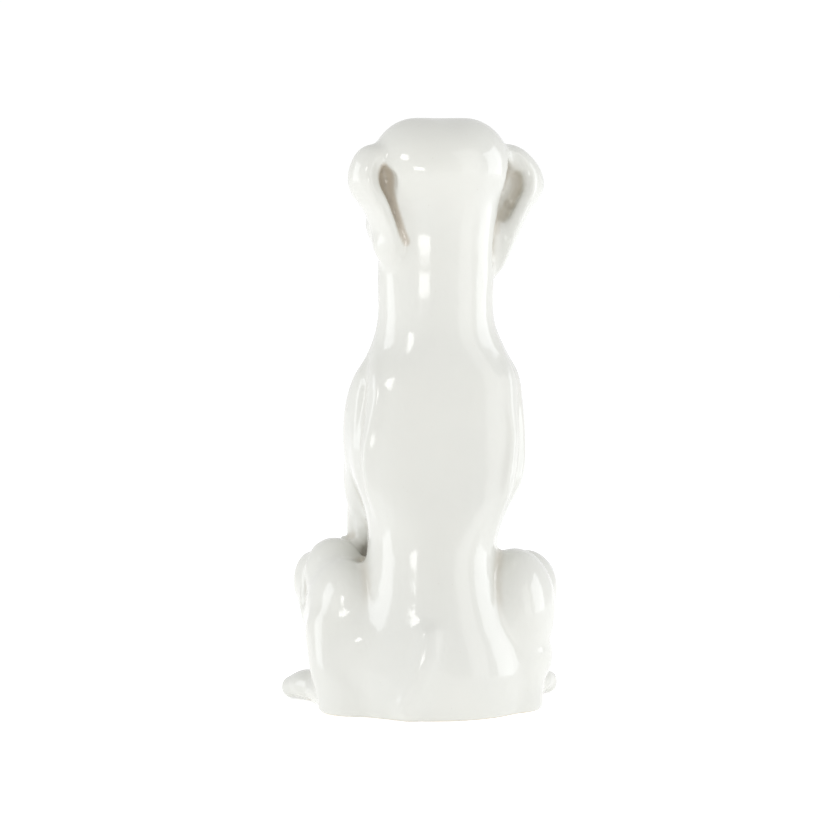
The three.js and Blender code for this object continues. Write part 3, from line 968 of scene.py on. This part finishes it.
# Azimuth, elevation, distance, width, height, power and colour
LAMPS = {
    "left_box": (156, 6.5, 2.0, 0.7, 0.3, 3.6, WHITE),
    "left_top_box": (129, 30, 2.0, 0.42, 0.42, 3.3, WHITE),
    "right_panel": (230, 18, 2.2, 1.0, 2.4, 7, WHITE),
    "right_side_panel": (273, 12, 2.2, 1.3, 1.7, 15, COOL),
    "left_side_panel": (78, 12, 2.2, 0.9, 1.7, 11, COOL),
}
CAMERA_AZIMUTH = 172
CAMERA_ELEVATION = 4.5
CAMERA_DISTANCE = 2.4
CAMERA_LENS = 150.2  # millimetres, on a sensor 36 wide
CAMERA_SENSOR = 36
CAMERA_SHIFT = (-0.0095, -0.0098)
FLOOR_RADIUS = 6
WORLD_GRADE = (0.05, 0.7, 0.88, 0.7)  # between the first two heights its light falls from 0.88 to 0.7
WORLD_SEEN = 1.03  # strength of the world as the camera sees it


def stand(made, aim, azimuth, elevation, distance):
    """Puts a lamp or camera round a point that it faces."""
    a, e = math.radians(azimuth), math.radians(elevation)
    back = Vector((math.sin(a) * math.cos(e), -math.cos(a) * math.cos(e), math.sin(e)))
    made.location = aim + back * distance
    made.rotation_euler = back.to_track_quat("Z", "Y").to_euler()
    scene.collection.objects.link(made)


def make_floor():
    """A round floor that reaches well past the view."""
    floor = bmesh.new()
    bmesh.ops.create_circle(floor, segments=96, radius=FLOOR_RADIUS, cap_ends=True)
    floor = meshed("floor", floor)
    floor.data.materials.append(floor_material())


def make_world():
    """White to the camera; the light that it gives grows weaker towards the top."""
    world = bpy.data.worlds.new("studio")
    world.use_nodes = True
    tree = world.node_tree
    background = tree.nodes["Background"]
    background.inputs["Color"].default_value = (1, 1, 1, 1)
    height = node(tree, "ShaderNodeSeparateXYZ")
    tree.links.new(node(tree, "ShaderNodeTexCoord").outputs["Generated"], height.inputs["Vector"])
    seen = node(tree, "ShaderNodeLightPath").outputs["Is Camera Ray"]
    given = ranged(tree, height.outputs["Z"], *WORLD_GRADE)
    lit = larger(tree, given, ranged(tree, seen, 0, 1, 0, WORLD_SEEN))
    tree.links.new(lit, background.inputs["Strength"])
    scene.world = world


def make_lamps():
    for name, (azimuth, elevation, distance, width, height, power, colour) in LAMPS.items():
        lamp = bpy.data.lights.new(name, "AREA")
        lamp.shape, lamp.size, lamp.size_y = "RECTANGLE", width, height
        lamp.energy, lamp.color = power, colour
        aim = Vector((0, 0, MIDDLE_HEIGHT))
        stand(bpy.data.objects.new(name, lamp), aim, azimuth, elevation, distance)


def make_camera(shift):
    lens = bpy.data.cameras.new("camera")
    lens.lens, lens.sensor_width = CAMERA_LENS, CAMERA_SENSOR
    lens.shift_x, lens.shift_y = CAMERA_SHIFT
    camera = bpy.data.objects.new("camera", lens)
    aim = Vector((shift.x, shift.y, MIDDLE_HEIGHT))
    stand(camera, aim, CAMERA_AZIMUTH, CAMERA_ELEVATION, CAMERA_DISTANCE)
    scene.camera = camera


skin = make_clay()
marks = crease_and_ear_gap_shade(skin)
even = even_shading(skin)
nearby = finder(skin.co)
castings = split(skin.made)
shift = frame_shift()
glaze = glaze_material()
for name, piece in castings.items():
    dress(piece, nearby, even, marks)
    to_frame(piece, shift)
    piece.name = f"glazed_{name}"
    piece.data.materials.clear()
    piece.data.materials.append(glaze)
    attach(piece, "root")
    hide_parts(name)
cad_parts["base_plate"].data.materials.clear()
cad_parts["base_plate"].data.materials.append(bisque_material())
make_floor()
make_world()
make_lamps()
make_camera(shift)
scene.view_settings.view_transform = "Standard"
